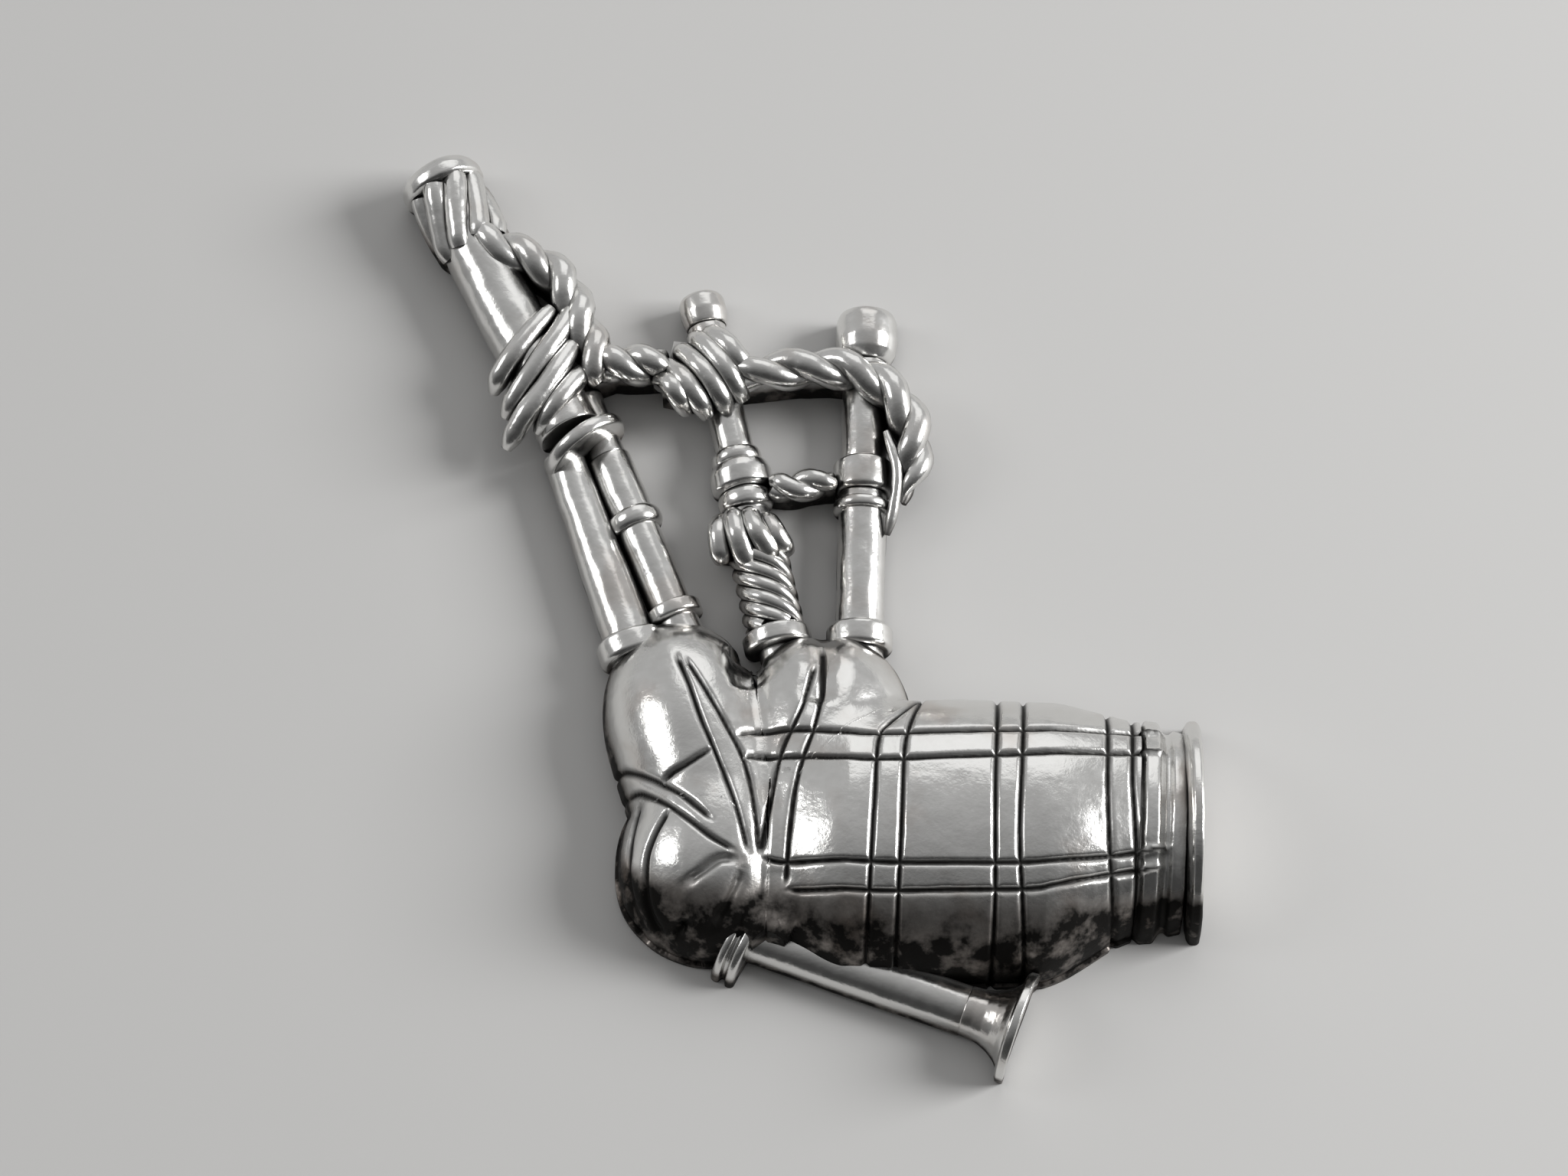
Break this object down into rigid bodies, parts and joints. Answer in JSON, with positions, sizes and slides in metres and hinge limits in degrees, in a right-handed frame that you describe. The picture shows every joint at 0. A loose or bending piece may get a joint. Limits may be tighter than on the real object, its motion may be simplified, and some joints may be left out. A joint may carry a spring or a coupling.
{
  "type": "bagpipes ornament",
  "caption": "Flat-backed cast pewter ornament in the form of Highland bagpipes: plaid bag, chanter, blowpipe, drones and twisted cords in relief.",
  "frame": {"origin": "centre of the bag's flat back", "axes": "+X along the bag to its flanged end, +Y the way the drones stand, +Z out of the flat back"},
  "size_m": [0.0245, 0.0283, 0.0034],
  "materials": {
    "bag": "cast pewter, polished highs over an oxidised ground, engraved plaid grooves",
    "pipes": "cast pewter, brightly polished, dark in the recesses",
    "cords": "cast pewter, polished strands with dark grooves between them"
  },
  "bodies": {
    "root": {"bag_body": "bag", "bag_end_gather": "bag", "bag_end_flange": "bag", "drone_stock_lobe": "bag", "tenor_stock_lobe": "bag", "neck_lobe": "bag", "chanter_stock_collar": "pipes", "chanter_body": "pipes", "chanter_bell": "pipes", "chanter_sole": "pipes", "bass_stock_collar": "pipes", "bass_drone_lower": "pipes", "bass_drone_upper": "pipes", "bass_drone_cap": "pipes", "blowpipe_stock_collar": "pipes", "blowpipe_lower": "pipes", "blowpipe_ring": "pipes", "blowpipe_upper": "pipes", "drone_pair_ring": "pipes", "tenor_1_stock_collar": "pipes", "tenor_1_lower": "pipes", "tenor_1_ring": "pipes", "tenor_1_ferrule": "pipes", "tenor_1_bead": "pipes", "tenor_1_upper": "pipes", "tenor_1_cap": "pipes", "tenor_2_stock_collar": "pipes", "tenor_2_lower": "pipes", "tenor_2_ring": "pipes", "tenor_2_ferrule": "pipes", "tenor_2_upper": "pipes", "tenor_2_cap": "pipes", "tenor_1_winding": "cords", "cord_knot": "cords", "bass_cord_top": "cords", "bass_cord_wrap": "cords", "bass_cord_loop": "cords", "cord_bass_to_tenor_1": "cords", "cord_bow": "cords", "cord_tenor_1_to_2": "cords", "cord_lower_run": "cords"}
  },
  "joints": []
}
